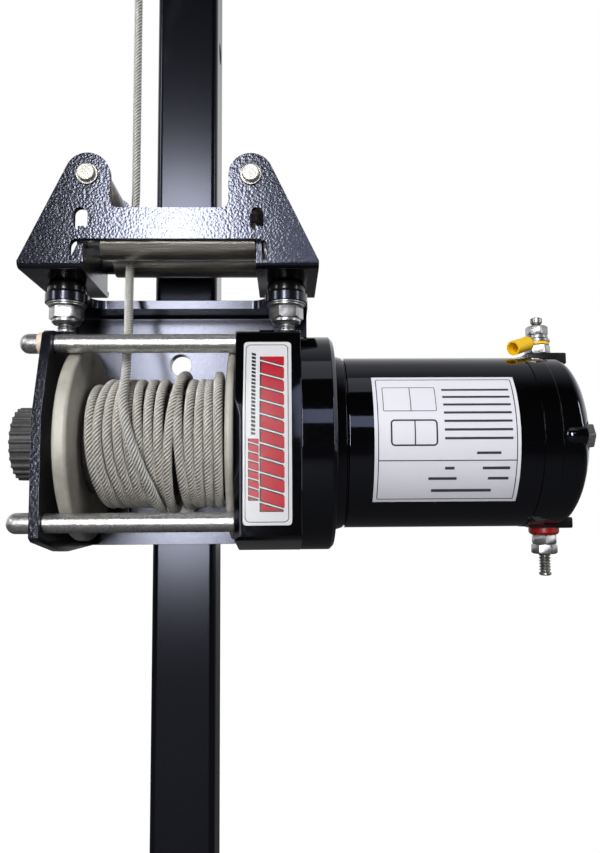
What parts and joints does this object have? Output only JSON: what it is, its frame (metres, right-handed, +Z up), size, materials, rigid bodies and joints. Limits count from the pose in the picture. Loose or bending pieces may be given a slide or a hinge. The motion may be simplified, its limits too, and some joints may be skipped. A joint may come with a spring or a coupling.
{
  "type": "hitch-mounted electric hoist",
  "caption": "Electric rope winch with clutch knob, planetary gearbox and roller fairlead, bolted to a square mast on a receiver-hitch shank.",
  "frame": {"origin": "centre of the hitch pin hole, on the axis of the receiver shank", "axes": "+Z up along the mast, +Y from the mast back along the shank towards the vehicle, +X to the right as seen from the winch side, along the winch axis towards the motor"},
  "size_m": [0.2926, 0.4013, 0.8104],
  "materials": {
    "hitch_black": "satin",
    "mast_black": "semi_gloss",
    "plate_grey": "satin",
    "hammered_black": "hammered",
    "zinc": "satin",
    "spacer_black": "matte",
    "roller_steel": "satin",
    "bush_cream": "matte",
    "knob_black": "matte",
    "gear_steel": "satin",
    "drum_steel": "satin",
    "rope_steel": "satin",
    "gloss_black": "gloss",
    "bronze": "satin",
    "copper_laminate": "satin",
    "ferrite": "matte",
    "brush_board": "matte",
    "insulator_red": "satin",
    "sleeve_yellow": "satin",
    "decal_white": "gloss",
    "label_silver": "satin",
    "hook_paint": "satin"
  },
  "bodies": {
    "frame": {"hitch_shank": "hitch_black", "mast_socket": "hitch_black", "socket_gusset": "hitch_black", "socket_bolt": "zinc", "mast_tube": "mast_black", "mount_plate": "plate_grey", "mast_bolts": "zinc", "winch_bolts": "zinc", "fairlead_bracket": "hammered_black", "fairlead_bolts": "zinc", "fairlead_spacers": "spacer_black", "fairlead_nuts": "zinc", "long_roller_pins": "zinc", "side_roller_pins": "zinc", "roller_clips": "zinc", "end_plate": "hammered_black", "tie_bars": "zinc", "tie_bolts": "zinc", "clutch_bush": "bush_cream", "gear_housing": "gloss_black", "drum_bush": "bronze", "ring_gear": "gear_steel", "motor_flange": "gloss_black", "bearings": "gear_steel", "motor_tube": "gloss_black", "magnets": "ferrite", "brush_gear": "brush_board", "end_cap": "gloss_black", "through_bolts": "zinc", "terminal_studs": "zinc", "terminal_nuts": "zinc", "terminal_insulator": "insulator_red", "crimp_terminal": "sleeve_yellow", "housing_decal": "decal_white", "motor_label": "label_silver", "rope_lead": "rope_steel", "rope_eye": "rope_steel", "hook": "hook_paint"},
    "drum": {"drum_core": "drum_steel", "drum_flanges": "drum_steel", "rope_inner_layers": "rope_steel", "rope_winding": "rope_steel", "clutch_spring": "gear_steel"},
    "clutch_knob": {"clutch_knob": "knob_black"},
    "clutch_shaft": {"clutch_shaft": "gear_steel", "clutch_circlip": "gear_steel"},
    "carrier_second": {"carrier_second": "gear_steel"},
    "carrier_first": {"carrier_first": "gear_steel"},
    "planet_a1": {"planet_a1": "gear_steel"},
    "planet_a2": {"planet_a2": "gear_steel"},
    "planet_a3": {"planet_a3": "gear_steel"},
    "planet_b1": {"planet_b1": "gear_steel"},
    "planet_b2": {"planet_b2": "gear_steel"},
    "planet_b3": {"planet_b3": "gear_steel"},
    "armature": {"armature": "copper_laminate"},
    "long_roller_front": {"long_roller_front": "roller_steel"},
    "long_roller_rear": {"long_roller_rear": "roller_steel"},
    "side_roller_left": {"side_roller_left": "roller_steel"},
    "side_roller_right": {"side_roller_right": "roller_steel"},
    "hook_latch": {"hook_latch": "zinc"}
  },
  "joints": [
    {"name": "drum_spin", "type": "hinge", "parent": "frame", "child": "drum", "pos_m": [0, -0.28105, 0.395], "axis": [1, 0, 0], "continuous": true},
    {"name": "carrier_second_spin", "type": "hinge", "parent": "frame", "child": "carrier_second", "pos_m": [0, -0.28105, 0.395], "axis": [1, 0, 0], "continuous": true},
    {"name": "carrier_first_spin", "type": "hinge", "parent": "frame", "child": "carrier_first", "pos_m": [0, -0.28105, 0.395], "axis": [1, 0, 0], "continuous": true},
    {"name": "armature_spin", "type": "hinge", "parent": "frame", "child": "armature", "pos_m": [0, -0.28105, 0.395], "axis": [1, 0, 0], "continuous": true},
    {"name": "planet_b1_spin", "type": "hinge", "parent": "carrier_second", "child": "planet_b1", "pos_m": [0.052, -0.26005, 0.395], "axis": [1, 0, 0], "continuous": true},
    {"name": "planet_b2_spin", "type": "hinge", "parent": "carrier_second", "child": "planet_b2", "pos_m": [0.052, -0.29155, 0.41319], "axis": [1, 0, 0], "continuous": true},
    {"name": "planet_b3_spin", "type": "hinge", "parent": "carrier_second", "child": "planet_b3", "pos_m": [0.052, -0.29155, 0.37681], "axis": [1, 0, 0], "continuous": true},
    {"name": "planet_a1_spin", "type": "hinge", "parent": "carrier_first", "child": "planet_a1", "pos_m": [0.068, -0.26005, 0.395], "axis": [1, 0, 0], "continuous": true},
    {"name": "planet_a2_spin", "type": "hinge", "parent": "carrier_first", "child": "planet_a2", "pos_m": [0.068, -0.29155, 0.41319], "axis": [1, 0, 0], "continuous": true},
    {"name": "planet_a3_spin", "type": "hinge", "parent": "carrier_first", "child": "planet_a3", "pos_m": [0.068, -0.29155, 0.37681], "axis": [1, 0, 0], "continuous": true},
    {"name": "knob_pull", "type": "slide", "parent": "frame", "child": "clutch_knob", "axis": [-1, 0, 0], "range_m": [0, 0.008], "stiffness_N_per_m": 400},
    {"name": "clutch_shift", "type": "slide", "parent": "drum", "child": "clutch_shaft", "axis": [-1, 0, 0], "range_m": [0, 0.008]},
    {"name": "long_roller_front_spin", "type": "hinge", "parent": "frame", "child": "long_roller_front", "pos_m": [0, -0.27205, 0.5065], "axis": [1, 0, 0], "continuous": true},
    {"name": "long_roller_rear_spin", "type": "hinge", "parent": "frame", "child": "long_roller_rear", "pos_m": [0, -0.24005, 0.5065], "axis": [1, 0, 0], "continuous": true},
    {"name": "side_roller_left_spin", "type": "hinge", "parent": "frame", "child": "side_roller_left", "pos_m": [-0.0434, -0.25605, 0.5381], "axis": [0, 1, 0], "continuous": true},
    {"name": "side_roller_right_spin", "type": "hinge", "parent": "frame", "child": "side_roller_right", "pos_m": [0.0434, -0.25605, 0.5381], "axis": [0, 1, 0], "continuous": true},
    {"name": "latch_swing", "type": "hinge", "parent": "frame", "child": "hook_latch", "pos_m": [-0.016, -0.25305, 0.747], "axis": [0, -1, 0], "range_deg": [0, 35], "stiffness_Nm_per_rad": 0.02}
  ],
  "couplings": [
    {"joint": "carrier_second_spin", "follows": "drum_spin", "ratio": 1},
    {"joint": "carrier_first_spin", "follows": "drum_spin", "ratio": 6},
    {"joint": "armature_spin", "follows": "drum_spin", "ratio": 36},
    {"joint": "planet_b1_spin", "follows": "drum_spin", "ratio": -2.5},
    {"joint": "planet_b2_spin", "follows": "drum_spin", "ratio": -2.5},
    {"joint": "planet_b3_spin", "follows": "drum_spin", "ratio": -2.5},
    {"joint": "planet_a1_spin", "follows": "drum_spin", "ratio": -15},
    {"joint": "planet_a2_spin", "follows": "drum_spin", "ratio": -15},
    {"joint": "planet_a3_spin", "follows": "drum_spin", "ratio": -15},
    {"joint": "clutch_shift", "follows": "knob_pull", "ratio": 1}
  ]
}
